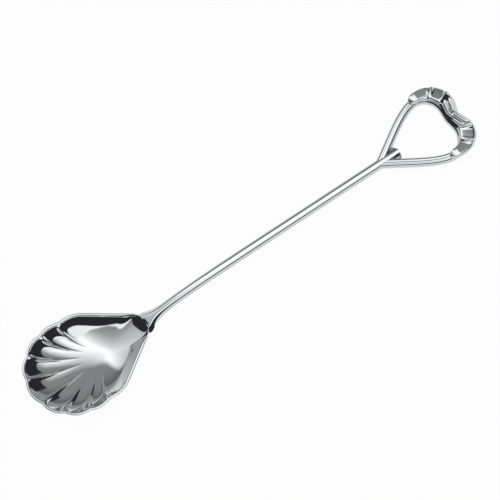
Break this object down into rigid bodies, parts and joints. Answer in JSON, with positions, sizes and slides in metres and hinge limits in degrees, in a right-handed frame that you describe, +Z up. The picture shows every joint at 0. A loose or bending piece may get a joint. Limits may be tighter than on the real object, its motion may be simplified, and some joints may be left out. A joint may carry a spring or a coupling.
{
  "type": "coffee spoon",
  "caption": "Small polished metal coffee spoon with a fluted shell bowl, a slim round stem and an open heart finial tied with a ribbon bow.",
  "frame": {"origin": "on the small flat under the bowl that the spoon rests on, straight below the bowl's deepest point", "axes": "+Z up from the table; +X along the spoon from the bowl to the heart finial; the XZ plane is the plane of symmetry"},
  "size_m": [0.1298, 0.0252, 0.0078],
  "materials": {
    "bowl_steel": "mirror-polished pressed steel",
    "stem_steel": "mirror-polished drawn rod",
    "heart_wire_steel": "mirror-polished drawn wire",
    "point_solder": "satin silver solder",
    "ribbon_left_loop_steel": "mirror-polished cast ribbon",
    "ribbon_right_loop_steel": "mirror-polished cast ribbon",
    "ribbon_knot_steel": "mirror-polished cast knot"
  },
  "bodies": {
    "root": {"bowl": "bowl_steel", "stem": "stem_steel", "heart_wire": "heart_wire_steel", "point_solder": "point_solder", "ribbon_left_loop": "ribbon_left_loop_steel", "ribbon_right_loop": "ribbon_right_loop_steel", "ribbon_knot": "ribbon_knot_steel"}
  },
  "joints": []
}
